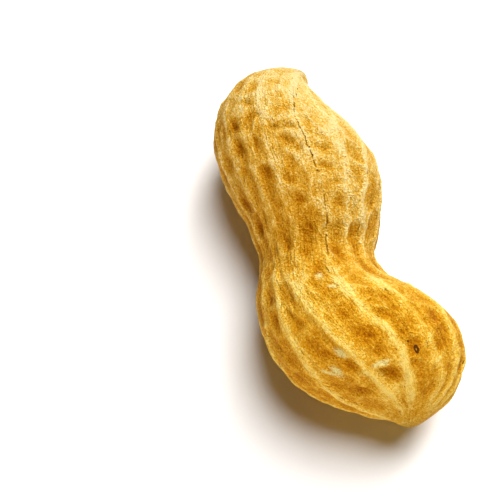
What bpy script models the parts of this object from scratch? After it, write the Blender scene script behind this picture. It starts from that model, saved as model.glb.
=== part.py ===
"""A two-seeded peanut in its shell, lying on its back with its bend parallel to the table.

+Z is up, +Y points to the stalk end, -Y to the beak and +X to the hollow side of the bend.
The pod grew as one piece, so it is one closed solid: a unit sphere carried onto a run of
oval sections, raised into lengthwise ribs with cross veins between them, and flattened by a
hair under each lobe where it rests.
"""

import math

import bmesh
import bpy
import numpy as np

MM = 0.001

SEGMENTS = 84          # faces round the pod
RINGS = 54             # faces from stalk to beak

# Oval sections from the stalk end to the beak, evenly spaced along the sphere's meridian.
# along, sideways, height of the centre, turn about Z in degrees, half width, half height (mm)
SECTIONS = (
    (19.8, 4.3, 7.9, -40.0, 0.0, 0.0),
    (19.8, 3.2, 7.8, -36.0, 1.9, 1.8),
    (19.0, 1.3, 7.7, -28.0, 3.5, 3.7),
    (16.4, 0.25, 7.7, -23.0, 5.6, 5.7),
    (12.9, 0.15, 7.65, -21.0, 7.5, 7.2),
    (9.2, 0.25, 7.55, -20.0, 8.2, 7.7),
    (5.4, 0.05, 7.5, -20.0, 7.65, 7.2),
    (1.8, -0.45, 7.1, -21.0, 6.6, 6.4),
    (-1.4, -1.35, 6.8, -19.0, 5.8, 5.7),
    (-4.8, -1.8, 7.0, -14.0, 7.0, 6.7),
    (-7.9, -1.1, 7.8, -7.6, 8.2, 7.8),
    (-11.1, -0.05, 7.95, -4.1, 8.75, 8.08),
    (-14.4, 1.0, 7.9, -2.5, 8.1, 7.7),
    (-17.1, 1.9, 7.5, -6.0, 6.15, 6.1),
    (-19.3, 2.15, 7.0, -11.0, 3.2, 3.2),
    (-20.6, 1.5, 6.6, -16.0, 0.0, 0.0),
)

# How far the ribs swing round the pod on their way from stalk (0) to beak (1), in degrees
SWING_AT = (0.0, 0.08, 0.16, 0.24, 0.33, 0.48, 0.60, 0.70, 0.80, 0.90, 1.0)
SWING = (-40.0, -36.0, -25.0, -8.0, 0.0, -5.0, -1.0, 4.0, -2.0, 7.0, 20.0)

# Lengthwise ribs: angle round the pod (0 is +X, 90 is up), height (mm), half width (degrees)
RIBS = (
    (88.0, 0.30, 6.0),
    (118.0, 0.28, 6.5),
    (143.0, 0.22, 6.0),
    (166.0, 0.24, 6.0),
    (190.0, 0.22, 6.0),
    (214.0, 0.24, 6.5),
    (240.0, 0.20, 6.0),
    (268.0, 0.30, 6.5),
    (296.0, 0.22, 6.5),
    (322.0, 0.24, 6.0),
    (347.0, 0.22, 6.0),
    (12.0, 0.24, 6.0),
    (36.0, 0.22, 6.0),
    (62.0, 0.24, 6.5),
)

RIB_BASE = -0.10       # mm, the floor between the ribs
VEINS = 13.0           # waves of cross veins from stalk to beak
VEIN_RISE = 0.14       # mm, half the height of a cross vein
VEIN_LANES = 14.0      # neighbouring lanes between ribs carry their veins out of step
RIB_START = 1.0        # mm, half width of the section where the ribs start to rise
RIB_FULL = 5.5         # mm, half width of the section where they stand at full height
REST_FADE = 0.9        # mm above the table over which the ribs fade out

BEAK_RISE = 0.28       # mm, the small point at the beak end
BEAK_SPREAD = 0.03     # share of the length taken by the point
STALK_RISE = 0.40      # mm, the scar where the stalk broke off
STALK_SPREAD = 0.045

SHELL_COLOUR = (0.62, 0.36, 0.09, 1.0)
SHELL_ROUGHNESS = 0.75


def section(station):
    """Give the oval section at a station from 0 (stalk) to 1 (beak), by Catmull-Rom."""
    rows = np.array(SECTIONS)
    before = rows[1].copy()
    before[4:] = -before[4:]
    after = rows[-2].copy()
    after[4:] = -after[4:]
    run = np.vstack([before, rows, after])
    last = len(rows) - 1
    place = min(max(station, 0.0), 1.0) * last
    k = min(int(place), last - 1)
    f = place - k
    a, b, c, d = run[k:k + 4]
    cubic = 3.0 * b - a - 3.0 * c + d
    square = 2.0 * a - 5.0 * b + 4.0 * c - d
    return 0.5 * (2.0 * b + (c - a) * f + square * f ** 2 + cubic * f ** 3)


def skin(station, angle):
    """Give the point of the plain pod (mm) at a station and an angle round it."""
    along, side, height, turn, half_width, half_height = section(station)
    reach = half_width * math.cos(angle)
    turn = math.radians(turn)
    x = side + reach * math.cos(turn)
    y = along + reach * math.sin(turn)
    z = height + half_height * math.sin(angle)
    return x, y, z


def smooth_step(value, low, high):
    """Rise softly from 0 at low to 1 at high."""
    t = min(max((value - low) / (high - low), 0.0), 1.0)
    return t * t * (3.0 - 2.0 * t)


def relief(station, angle, z):
    """Give how far the skin stands out (mm): ribs, cross veins, beak point, stalk scar."""
    half_width = section(station)[4]
    swing = float(np.interp(station, SWING_AT, SWING))
    degrees = math.degrees(angle) - swing
    rise = RIB_BASE
    for at, height, half in RIBS:
        off = (degrees - at + 180.0) % 360.0 - 180.0
        rise += height * math.exp(-(off / half) ** 2)
    lane = math.sin(math.radians(degrees) * VEIN_LANES / 2.0)
    rise += VEIN_RISE * math.sin(2.0 * math.pi * VEINS * station) * lane
    rise *= smooth_step(half_width, RIB_START, RIB_FULL)
    rise *= smooth_step(z, 0.0, REST_FADE)
    rise += BEAK_RISE * math.exp(-((1.0 - station) / BEAK_SPREAD) ** 2)
    rise += STALK_RISE * math.exp(-(station / STALK_SPREAD) ** 2)
    return rise


def build_pod():
    """Build the pod's mesh: sphere, sections, ribs, then the two flats it rests on."""
    bm = bmesh.new()
    bmesh.ops.create_uvsphere(bm, u_segments=SEGMENTS, v_segments=RINGS, radius=1.0)
    seats = {}
    for v in bm.verts:
        station = math.acos(min(max(v.co.z, -1.0), 1.0)) / math.pi
        angle = math.atan2(v.co.y, v.co.x)
        seats[v] = (station, angle)
    for v, (station, angle) in seats.items():
        v.co = skin(station, angle)
    if bm.calc_volume(signed=True) < 0.0:
        bmesh.ops.reverse_faces(bm, faces=bm.faces)
    bm.normal_update()
    moved = {}
    for v, (station, angle) in seats.items():
        moved[v] = v.co + v.normal * relief(station, angle, v.co.z)
    for v, place in moved.items():
        v.co = place * MM

    everything = bm.verts[:] + bm.edges[:] + bm.faces[:]
    cut = bmesh.ops.bisect_plane(
        bm, geom=everything, dist=1e-6, plane_co=(0, 0, 0), plane_no=(0, 0, 1), clear_inner=True
    )
    rim = [e for e in cut["geom_cut"] if isinstance(e, bmesh.types.BMEdge) and e.is_boundary]
    bmesh.ops.holes_fill(bm, edges=rim, sides=0)
    bmesh.ops.remove_doubles(bm, verts=bm.verts, dist=1e-5)
    bmesh.ops.recalc_face_normals(bm, faces=bm.faces)
    bmesh.ops.triangulate(bm, faces=bm.faces)
    for face in bm.faces:
        face.smooth = True
    mesh = bpy.data.meshes.new("pod")
    bm.to_mesh(mesh)
    bm.free()
    return mesh


def shell_material():
    """Make the dry, matt shell material."""
    material = bpy.data.materials.new("shell")
    material.use_nodes = True
    surface = material.node_tree.nodes["Principled BSDF"]
    surface.inputs["Base Color"].default_value = SHELL_COLOUR
    surface.inputs["Roughness"].default_value = SHELL_ROUGHNESS
    surface.inputs["Metallic"].default_value = 0.0
    return material


def main():
    """Clear the scene and build the peanut in its own collection."""
    for item in list(bpy.data.objects):
        bpy.data.objects.remove(item)
    group = bpy.data.collections.new("peanut_in_shell")
    bpy.context.scene.collection.children.link(group)
    pod = bpy.data.objects.new("pod", build_pod())
    pod.data.materials.append(shell_material())
    group.objects.link(pod)


main()
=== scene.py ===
"""A peanut in its shell, lying on its back on a pale floor under soft studio light.

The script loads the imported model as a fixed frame, grows the shell's real surface over the plain
pod (ribs, net of veins, pits, suture, stalk scar, beak), dresses it in a procedural material, and
sets the floor, the lights and the camera round it.
"""

import logging
import math
from dataclasses import dataclass, field
from enum import Enum, IntEnum
from typing import Any

import bpy
import numpy as np
from mathutils import Matrix, Vector


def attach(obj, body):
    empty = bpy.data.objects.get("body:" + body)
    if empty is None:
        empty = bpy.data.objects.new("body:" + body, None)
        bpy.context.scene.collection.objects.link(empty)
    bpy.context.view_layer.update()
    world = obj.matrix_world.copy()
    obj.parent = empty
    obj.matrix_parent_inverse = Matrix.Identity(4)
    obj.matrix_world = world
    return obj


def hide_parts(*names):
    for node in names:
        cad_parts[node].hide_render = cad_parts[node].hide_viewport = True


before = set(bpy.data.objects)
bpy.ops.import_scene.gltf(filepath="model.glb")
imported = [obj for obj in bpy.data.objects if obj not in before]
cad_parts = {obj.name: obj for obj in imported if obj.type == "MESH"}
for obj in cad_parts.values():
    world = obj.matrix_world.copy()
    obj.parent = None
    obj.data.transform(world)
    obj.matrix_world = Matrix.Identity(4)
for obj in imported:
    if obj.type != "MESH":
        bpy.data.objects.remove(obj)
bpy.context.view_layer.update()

LOG = logging.getLogger("peanut")
MM = 0.001
TURN = 2.0 * math.pi

Colour = tuple[float, float, float]
Track = tuple[tuple[float, float, float], ...]

# What a node's input takes: a plain value, or another node's output.
Input = Any
Output = bpy.types.NodeSocket


class Field(Enum):
    """Names of the values the shell's mesh hands to its material."""

    RELIEF = "relief"
    PIT = "pit"
    VEIN = "vein"
    RIB = "rib"
    RIB_OFF = "rib_off"
    VALLEY = "valley"
    SEAM = "seam"
    SEAM_OPEN = "seam_open"
    SCUFF = "scuff"
    SCAR = "scar"
    RIPE = "ripe"
    # Painted highlight and painted shade laid into the colour.
    PAINTED_LIGHT = "painted_light"
    STRAIGHT = "straight"


class Lie(Enum):
    """Which way a scattered pit is stretched."""

    ALONG = 0
    ACROSS = 1


class Seed(IntEnum):
    """Which fixed numbers each noise takes; every rib's beat takes its own, counted up from BEAT."""

    BEND_ACROSS = 3
    BEND_ALONG = 9
    RAGGED = 15
    VALLEY = 17
    LUMP = 21
    ROUGH = 31
    BEAT = 40
    NET = 60
    CRINKLE = 70


# ---------------------------------------------------------------- maths on whole arrays


def smooth_step(value: np.ndarray, low: float, high: float) -> np.ndarray:
    """Rise softly from 0 at low to 1 at high: 3t^2 - 2t^3 of the clipped share t.

    Args:
        value: Any array.
        low: Where the rise starts.
        high: Where it ends.

    Returns:
        An array of the same shape, from 0 to 1.
    """
    t = np.clip((value - low) / (high - low), 0.0, 1.0)
    return t * t * (3.0 - 2.0 * t)


def wrap(angle: np.ndarray) -> np.ndarray:
    """Bring an angle in radians into the half turn either side of 0."""
    return (angle + math.pi) % TURN - math.pi


def hashed(place: np.ndarray, seed: int) -> np.ndarray:
    """Give a fixed number from 0 to 1 for each row of three whole numbers.

    Formula: the three, each times its own large odd number, and the seed are added, and the sum
    is mixed twice by folding its high bits onto its low ones.

    Args:
        place: (..., 3) whole numbers.
        seed: Chooses another set of numbers.

    Returns:
        (...) numbers.
    """
    whole = place.astype(np.uint32)
    mixed = whole[..., 0] * np.uint32(374761393) + whole[..., 1] * np.uint32(668265263)
    mixed = mixed + whole[..., 2] * np.uint32(2246822519) + np.uint32(seed * 97531 + 7)
    mixed = (mixed ^ (mixed >> np.uint32(13))) * np.uint32(1274126177)
    mixed = mixed ^ (mixed >> np.uint32(16))
    return (mixed & np.uint32(0xFFFF)).astype(float) / 65535.0


def lattice_noise(points: np.ndarray, size: float, seed: int) -> np.ndarray:
    """Make smooth 3-D noise from -1 to 1.

    Every corner of a cubic lattice of side `size` holds a fixed number hashed from its three
    indices, and a point takes the blend of its cell's eight corners, with soft-step weights.

    Args:
        points: (..., 3) positions in mm.
        size: Side of a lattice cell in mm.
        seed: Chooses another set of numbers.

    Returns:
        (...) noise values.
    """
    cell = points / size
    base = np.floor(cell).astype(np.int64)
    part = cell - base
    part = part * part * (3.0 - 2.0 * part)
    total = np.zeros(points.shape[:-1])
    for corner in np.ndindex(2, 2, 2):
        number = 2.0 * hashed(base + np.array(corner), seed) - 1.0
        weight = np.ones(points.shape[:-1])
        for axis in range(3):
            weight *= part[..., axis] if corner[axis] else 1.0 - part[..., axis]
        total += number * weight
    return total


def layered_noise(points: np.ndarray, size: float, seed: int, layers: int = 3) -> np.ndarray:
    """Add lattice noise at halving sizes and halving strengths, scaled back to about 1.

    Args:
        points: (..., 3) positions in mm.
        size: Side in mm of the coarsest lattice's cell.
        seed: Chooses another set of numbers.
        layers: How many sizes.

    Returns:
        (...) noise values, about -1 to 1.
    """
    total = np.zeros(points.shape[:-1])
    for layer in range(layers):
        total += lattice_noise(points, size / 2**layer, seed + layer) / 2**layer
    return total / (2.0 - 0.5 ** (layers - 1))


def cell_net(points: np.ndarray, size: float, seed: int) -> tuple[np.ndarray, np.ndarray]:
    """Part space into irregular cells round scattered seeds.

    Every box of side `size` holds one seed at a hashed place inside it. A point's `edge` is the
    distance to the second nearest seed less that to the nearest, so it is 0 on a cell's walls and
    grows inwards, in units of `size`. `number` is the cell's own fixed number.

    Args:
        points: (n, 3) positions in mm.
        size: Side of a box in mm.
        seed: Chooses another net.

    Returns:
        (n) edge and (n) number from 0 to 1.
    """
    cell = points / size
    base = np.floor(cell).astype(np.int64)
    first = np.full(len(points), 9.0)
    second = np.full(len(points), 9.0)
    number = np.zeros(len(points))
    for offset in np.ndindex(3, 3, 3):
        box = base + np.array(offset) - 1
        seats = np.stack([hashed(box, seed + axis) for axis in range(3)], axis=-1)
        apart = np.linalg.norm(box + 0.1 + 0.8 * seats - cell, axis=-1)
        nearer = apart < first
        second = np.where(nearer, first, np.minimum(second, apart))
        number = np.where(nearer, hashed(box, seed + 3), number)
        first = np.where(nearer, apart, first)
    return second - first, number


# ---------------------------------------------------------------- the pod's plain form


@dataclass(frozen=True)
class Section:
    """One oval section of the pod, in mm and degrees."""

    along: float
    side: float
    height: float
    turn: float
    half_width: float
    half_height: float


@dataclass(frozen=True)
class PodForm:
    """The plain pod: oval sections from the stalk end to the beak. Lengths are in mm."""

    sections: tuple[Section, ...] = (
        Section(19.8, 4.3, 7.9, -40.0, 0.0, 0.0),
        Section(19.8, 3.2, 7.8, -36.0, 1.9, 1.8),
        Section(19.0, 1.3, 7.7, -28.0, 3.5, 3.7),
        Section(16.4, 0.25, 7.7, -23.0, 5.6, 5.7),
        Section(12.9, 0.15, 7.65, -21.0, 7.5, 7.2),
        Section(9.2, 0.25, 7.55, -20.0, 8.2, 7.7),
        Section(5.4, 0.05, 7.5, -20.0, 7.65, 7.2),
        Section(1.8, -0.45, 7.1, -21.0, 6.6, 6.4),
        Section(-1.4, -1.35, 6.8, -19.0, 5.8, 5.7),
        Section(-4.8, -1.8, 7.0, -14.0, 7.0, 6.7),
        Section(-7.9, -1.1, 7.8, -7.6, 8.2, 7.8),
        Section(-11.1, -0.05, 7.95, -4.1, 8.75, 8.08),
        Section(-14.4, 1.0, 7.9, -2.5, 8.1, 7.7),
        Section(-17.1, 1.9, 7.5, -6.0, 6.15, 6.1),
        Section(-19.3, 2.15, 7.0, -11.0, 3.2, 3.2),
        Section(-20.6, 1.5, 6.6, -16.0, 0.0, 0.0),
    )
    straight_radius: float = 7.5

    def run(self, station: np.ndarray) -> np.ndarray:
        """Give the section at each station by Catmull-Rom between the listed ones.

        The list is carried past each end with its second section's widths turned negative, so
        the ends close round.

        Args:
            station: (...) from 0 at the stalk to 1 at the beak.

        Returns:
            (..., 6) along, side, height, turn, half width and half height.
        """
        names = ("along", "side", "height", "turn", "half_width", "half_height")
        rows = np.array([[getattr(s, name) for name in names] for s in self.sections])
        flip = np.array([1.0, 1.0, 1.0, 1.0, -1.0, -1.0])
        rows = np.vstack([rows[1] * flip, rows, rows[-2] * flip])
        place = np.clip(station, 0.0, 1.0) * (len(self.sections) - 1)
        k = np.minimum(place.astype(int), len(self.sections) - 2)
        f = (place - k)[..., None]
        a, b, c, d = rows[k], rows[k + 1], rows[k + 2], rows[k + 3]
        cubic = 3.0 * b - a - 3.0 * c + d
        square = 2.0 * a - 5.0 * b + 4.0 * c - d
        return 0.5 * (2.0 * b + (c - a) * f + square * f**2 + cubic * f**3)

    def skin(self, station: np.ndarray, angle: np.ndarray) -> np.ndarray:
        """Give the plain pod's points in mm.

        Formula: from the section's centre, go half the width times the angle's cosine along the
        section's turned side, and half the height times its sine straight up.

        Args:
            station: (...) from 0 at the stalk to 1 at the beak.
            angle: (...) round the pod, 0 towards +X and a quarter turn straight up.

        Returns:
            (..., 3) points.
        """
        row = np.moveaxis(self.run(station), -1, 0)
        reach = row[4] * np.cos(angle)
        turn = np.radians(row[3])
        x = row[1] + reach * np.cos(turn)
        y = row[0] + reach * np.sin(turn)
        z = row[2] + row[5] * np.sin(angle)
        return np.stack([x, y, z], axis=-1)

    def girth(self, station: np.ndarray) -> np.ndarray:
        """Give the mean radius in mm at each station."""
        row = self.run(station)
        return np.abs(row[..., 4] + row[..., 5]) / 2.0

    def reach(self, station: np.ndarray) -> np.ndarray:
        """Give the distance in mm along the pod's back from the stalk end to each station."""
        fine = np.linspace(0.0, 1.0, 1001)
        line = self.skin(fine, np.full_like(fine, math.pi / 2.0))
        steps = np.linalg.norm(np.diff(line, axis=0), axis=1)
        return np.interp(station, fine, np.concatenate([[0.0], np.cumsum(steps)]))

    def straight(self, station: np.ndarray, angle: np.ndarray) -> np.ndarray:
        """Lay points on a straight tube, for marks that follow the pod's length.

        Formula: the tube's radius times the angle's cosine and sine, and the reach along it.

        Args:
            station: (n) from 0 at the stalk to 1 at the beak.
            angle: (n) in radians.

        Returns:
            (n, 3) points in mm.
        """
        around = self.straight_radius * np.stack([np.cos(angle), np.sin(angle)], axis=-1)
        return np.column_stack([around, self.reach(station)])


# ---------------------------------------------------------------- what stands out of the skin


@dataclass(frozen=True)
class Rib:
    """A lengthwise rib: its track as (station, degrees, height in mm) points, and half width in mm."""

    track: Track
    spread: float

    def along(self, station: np.ndarray, column: int) -> np.ndarray:
        """Give one column of the track at each station, with its corners rounded off.

        Formula: straight runs between the track's points, averaged under a raised-cosine window.

        Args:
            station: (n) from 0 at the stalk to 1 at the beak.
            column: Which of the track's three values.

        Returns:
            (n) values.
        """
        fine = np.linspace(-0.1, 1.1, 961)
        points = np.array(self.track)
        line = np.interp(fine, points[:, 0], points[:, column])
        window = np.hanning(41)
        line = np.convolve(np.pad(line, 20, mode="edge"), window / window.sum(), mode="valid")
        return np.interp(station, fine, line)

    def angle(self, station: np.ndarray) -> np.ndarray:
        """Give the rib's angle in radians at each station."""
        return np.radians(self.along(station, 1))

    def height(self, station: np.ndarray) -> np.ndarray:
        """Give the rib's height in mm at each station, fading past the ends of its track."""
        first, last = self.track[0][0], self.track[-1][0]
        rise = smooth_step(station, first - 0.05, first + 0.04)
        return self.along(station, 2) * rise * (1.0 - smooth_step(station, last - 0.02, last + 0.05))


@dataclass(frozen=True)
class Mark:
    """An oval pit, bridge or scuff: where it is, its half sizes in mm, its strength and its turn.

    The strength is a pit's depth or a bridge's height in mm, or a scuff's share of pale colour.
    """

    station: float
    degrees: float
    length: float
    width: float
    strength: float
    turn: float = 0.0


@dataclass(frozen=True)
class Fleck:
    """A small hard dark mark: where it is, its half sizes in mm, and how much of it is a ring's hole."""

    station: float
    degrees: float
    length: float
    width: float
    hollow: float = 0.0


def make_rib(spread: float, *track: tuple[float, float, float]) -> Rib:
    """Make a rib from its half width in mm and its track's points."""
    return Rib(track, spread)


def make_marks(*rows: tuple[float, ...]) -> tuple[Mark, ...]:
    """Make a mark from each row of station, degrees, half length, half width, strength and turn."""
    return tuple(Mark(*row) for row in rows)


# The line where the two halves of the shell meet.
SUTURE = make_rib(
    0.34,
    (0.03, 45.0, 0.20), (0.08, 51.0, 0.34), (0.16, 62.0, 0.34), (0.22, 77.0, 0.28), (0.29, 88.0, 0.12),
    (0.36, 87.0, 0.07), (0.42, 84.0, 0.06), (0.49, 82.5, 0.07), (0.55, 84.0, 0.09), (0.60, 87.0, 0.14),
    (0.65, 90.0, 0.20), (0.70, 92.0, 0.24), (0.75, 89.5, 0.25), (0.80, 86.0, 0.25), (0.83, 88.0, 0.26),
    (0.87, 93.0, 0.28), (0.925, 97.0, 0.28), (0.97, 108.0, 0.20),
)

# The ribs of the upper side.
UPPER_RIBS = (
    make_rib(
        0.36,
        (0.12, 124.0, 0.08), (0.25, 129.0, 0.10), (0.34, 132.0, 0.12), (0.40, 136.0, 0.12),
        (0.49, 134.0, 0.10), (0.58, 128.0, 0.14), (0.63, 121.0, 0.24), (0.70, 120.0, 0.30),
        (0.80, 116.0, 0.30), (0.86, 119.0, 0.24), (0.97, 118.0, 0.16),
    ),
    make_rib(
        0.30,
        (0.12, 146.0, 0.10), (0.32, 148.0, 0.16), (0.42, 151.0, 0.14), (0.51, 146.0, 0.12),
        (0.60, 135.0, 0.16), (0.68, 142.0, 0.22), (0.74, 147.0, 0.20), (0.80, 153.0, 0.18),
        (0.85, 168.0, 0.18), (0.915, 183.0, 0.18), (0.96, 200.0, 0.14),
    ),
    make_rib(
        0.24,
        (0.10, 172.0, 0.12), (0.23, 168.0, 0.20), (0.32, 164.0, 0.22), (0.41, 170.0, 0.20),
        (0.52, 166.0, 0.16), (0.60, 154.0, 0.14), (0.65, 160.0, 0.18), (0.72, 182.0, 0.22),
        (0.82, 206.0, 0.22), (0.95, 226.0, 0.16),
    ),
    make_rib(
        0.30,
        (0.14, 40.0, 0.08), (0.25, 58.0, 0.10), (0.36, 62.0, 0.12), (0.50, 64.0, 0.14),
        (0.60, 63.0, 0.12), (0.74, 64.0, 0.12), (0.84, 63.0, 0.14), (0.88, 55.0, 0.20),
        (0.96, 62.0, 0.18),
    ),
    make_rib(
        0.24,
        (0.12, 22.0, 0.14), (0.31, 35.0, 0.20), (0.38, 42.0, 0.18), (0.45, 48.0, 0.16),
        (0.52, 44.0, 0.18), (0.62, 34.0, 0.16), (0.73, 31.0, 0.16), (0.80, 36.0, 0.20),
        (0.88, 34.0, 0.24), (0.96, 48.0, 0.20),
    ),
    make_rib(
        0.24,
        (0.12, 0.0, 0.16), (0.30, 12.0, 0.22), (0.50, 20.0, 0.22), (0.62, 10.0, 0.22), (0.72, 9.0, 0.22),
        (0.84, 12.0, 0.24), (0.96, 26.0, 0.20),
    ),
    make_rib(
        0.48,
        (0.14, 104.0, 0.10), (0.20, 108.0, 0.14), (0.28, 111.0, 0.14), (0.36, 115.0, 0.12),
        (0.46, 118.0, 0.10), (0.53, 113.0, 0.08),
    ),
)

# The ribs of the sides and the back, the second suture among them.
HIDDEN_RIBS = (
    make_rib(
        0.30,
        (0.10, -26.0, 0.2), (0.35, -14.0, 0.24), (0.60, -12.0, 0.22), (0.80, -16.0, 0.24),
        (0.96, 0.0, 0.2),
    ),
    make_rib(
        0.30,
        (0.10, -50.0, 0.2), (0.35, -38.0, 0.24), (0.60, -36.0, 0.22), (0.80, -42.0, 0.24),
        (0.96, -28.0, 0.2),
    ),
    make_rib(
        0.30,
        (0.10, -76.0, 0.2), (0.35, -64.0, 0.24), (0.60, -62.0, 0.22), (0.80, -68.0, 0.24),
        (0.96, -54.0, 0.2),
    ),
    make_rib(
        0.30,
        (0.06, -104.0, 0.3), (0.35, -92.0, 0.3), (0.60, -94.0, 0.3), (0.80, -94.0, 0.3),
        (0.97, -84.0, 0.2),
    ),
    make_rib(
        0.30,
        (0.10, -138.0, 0.2), (0.35, -120.0, 0.24), (0.60, -122.0, 0.22), (0.80, -120.0, 0.24),
        (0.96, -104.0, 0.2),
    ),
    make_rib(
        0.30,
        (0.10, -162.0, 0.2), (0.35, -146.0, 0.22), (0.60, -152.0, 0.2), (0.75, -140.0, 0.24),
        (0.96, -120.0, 0.2),
    ),
    make_rib(
        0.30,
        (0.10, -178.0, 0.2), (0.35, -170.0, 0.22), (0.55, -176.0, 0.2), (0.68, -166.0, 0.22),
        (0.96, -138.0, 0.2),
    ),
)

# Short raised veins that cross from rib to rib.
BRIDGES = make_marks(
    (0.838, 104.0, 0.28, 1.90, 0.22, -18.0),
    (0.690, 97.0, 0.24, 1.10, 0.12, -20.0),
    (0.752, 97.0, 0.22, 1.20, 0.12, 18.0),
    (0.862, 127.0, 0.24, 1.10, 0.12, -14.0),
    (0.700, 82.0, 0.22, 1.10, 0.10, 20.0),
    (0.760, 80.0, 0.22, 1.00, 0.10, -16.0),
    (0.800, 73.0, 0.22, 1.10, 0.12, 24.0),
    (0.300, 110.0, 0.22, 1.20, 0.10, -14.0),
    (0.262, 108.0, 0.22, 1.10, 0.10, 12.0),
    (0.222, 102.0, 0.24, 1.30, 0.12, 10.0),
    (0.208, 84.0, 0.22, 0.90, 0.10, -12.0),
    (0.325, 92.0, 0.20, 0.80, 0.08, 10.0),
)

# The pits of the upper side.
PITS = make_marks(
    # The stalk lobe, on the -X side of the suture.
    (0.310, 102.0, 0.45, 1.25, 0.50, -8.0),
    (0.340, 101.0, 0.55, 0.85, 0.38),
    (0.268, 94.0, 0.45, 0.75, 0.40),
    (0.234, 92.0, 0.55, 0.65, 0.34),
    (0.183, 92.0, 0.45, 0.90, 0.40),
    (0.278, 119.0, 0.60, 0.80, 0.38),
    (0.240, 126.0, 0.50, 0.80, 0.44, 20.0),
    (0.200, 112.0, 0.50, 0.80, 0.30),
    (0.380, 102.0, 0.70, 0.65, 0.40),
    (0.355, 93.5, 0.60, 0.45, 0.32),
    (0.291, 139.0, 0.70, 0.60, 0.36),
    (0.335, 141.0, 0.90, 0.50, 0.34),
    (0.385, 143.0, 0.95, 0.42, 0.32),
    (0.335, 123.0, 0.95, 0.75, 0.36),
    (0.390, 126.0, 0.75, 0.80, 0.30),
    (0.455, 127.0, 0.95, 0.70, 0.24),
    (0.448, 104.0, 0.60, 0.90, 0.34),
    (0.412, 110.0, 0.60, 0.80, 0.26),
    # The stalk lobe, on the +X side of the suture.
    (0.292, 77.0, 0.38, 0.75, 0.38),
    (0.326, 79.0, 0.38, 0.85, 0.42, 6.0),
    (0.355, 76.0, 0.36, 0.90, 0.38, 6.0),
    (0.365, 64.5, 0.55, 0.65, 0.36),
    (0.385, 78.0, 0.34, 0.75, 0.30),
    (0.416, 74.0, 0.50, 1.00, 0.30),
    (0.402, 60.0, 0.55, 0.70, 0.26),
    (0.245, 76.0, 0.55, 0.45, 0.30),
    (0.255, 62.0, 0.60, 0.55, 0.26),
    (0.310, 60.0, 0.60, 0.55, 0.26),
    # The waist.
    (0.459, 143.0, 0.85, 0.34, 0.30),
    (0.532, 126.0, 0.95, 0.45, 0.30),
    (0.505, 100.0, 0.85, 0.75, 0.30),
    (0.505, 56.0, 0.95, 0.50, 0.32),
    (0.555, 73.0, 0.75, 0.75, 0.26),
    (0.545, 52.0, 0.85, 0.42, 0.30),
    (0.482, 35.0, 0.85, 0.36, 0.32),
    (0.455, 73.0, 0.70, 0.70, 0.26),
    # The beak lobe.
    (0.660, 128.0, 0.90, 0.42, 0.46),
    (0.676, 135.0, 1.10, 0.34, 0.42),
    (0.708, 133.0, 0.80, 0.60, 0.34),
    (0.679, 151.0, 0.95, 0.38, 0.36),
    (0.710, 126.0, 0.70, 0.46, 0.44),
    (0.746, 125.0, 0.80, 0.55, 0.40),
    (0.678, 103.0, 0.75, 0.70, 0.30),
    (0.722, 105.0, 0.95, 0.90, 0.30),
    (0.768, 104.0, 0.90, 1.05, 0.38, 20.0),
    (0.806, 103.0, 0.60, 1.05, 0.46, -24.0),
    (0.863, 105.0, 0.95, 0.80, 0.85, -16.0),
    (0.731, 162.0, 0.90, 0.45, 0.34),
    (0.748, 137.0, 0.85, 0.70, 0.30),
    (0.782, 128.0, 0.60, 0.60, 0.36),
    (0.815, 126.0, 0.85, 0.80, 0.34),
    (0.800, 139.0, 0.60, 0.60, 0.30),
    (0.882, 138.0, 0.70, 0.75, 0.40, 12.0),
    (0.850, 148.0, 0.60, 0.60, 0.30),
    (0.930, 112.0, 0.60, 0.55, 0.36),
    (0.700, 74.0, 0.50, 0.85, 0.38, 14.0),
    (0.735, 76.0, 0.50, 0.80, 0.38, -14.0),
    (0.782, 79.0, 0.50, 0.70, 0.42),
    (0.818, 77.0, 0.70, 0.95, 0.36),
    (0.846, 83.0, 0.60, 0.50, 0.44),
    (0.895, 82.0, 0.95, 0.45, 0.44),
    (0.838, 69.5, 0.80, 0.40, 0.34),
    (0.771, 57.0, 0.65, 0.75, 0.34),
    (0.690, 54.0, 0.60, 0.70, 0.26),
    (0.871, 60.0, 0.90, 0.34, 0.34),
    (0.864, 45.0, 0.90, 0.36, 0.34),
    (0.820, 50.0, 0.70, 0.50, 0.30),
    (0.834, 196.0, 0.50, 1.20, 0.30),
    (0.771, 170.0, 0.80, 0.50, 0.30),
    (0.628, 150.0, 0.85, 0.34, 0.30),
    (0.925, 150.0, 0.60, 0.50, 0.30),
)

# Pale rubbed places.
SCUFFS = make_marks(
    (0.785, 123.0, 0.62, 0.46, 0.95, 20.0),
    (0.815, 142.0, 0.95, 0.18, 1.00, -25.0),
    (0.814, 137.0, 0.62, 0.44, 0.85),
    (0.834, 105.0, 0.32, 1.05, 0.78, -12.0),
    (0.651, 97.0, 0.42, 0.42, 0.80),
    (0.615, 100.0, 0.60, 0.36, 0.70, 20.0),
    (0.553, 82.0, 1.20, 0.42, 0.30),
)

# Dark specks, the first of them a ring.
FLECKS = (
    Fleck(0.825, 76.0, 0.46, 0.27, 0.62),
    Fleck(0.806, 79.0, 0.13, 0.10),
    Fleck(0.356, 86.5, 0.12, 0.12),
    Fleck(0.372, 86.0, 0.13, 0.07),
    Fleck(0.400, 85.0, 0.13, 0.07),
)

# How far the suture's crack stands open: (station, share) points.
SEAM_OPENS = ((0.0, 0.0), (0.19, 0.04), (0.25, 1.0), (0.56, 0.9), (0.66, 0.12), (1.0, 0.12))


@dataclass(frozen=True)
class Unrolled:
    """Points on the unrolled shell: distance along it in mm, angle round it, and mean radius in mm."""

    reach: np.ndarray
    angle: np.ndarray
    girth: np.ndarray


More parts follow.
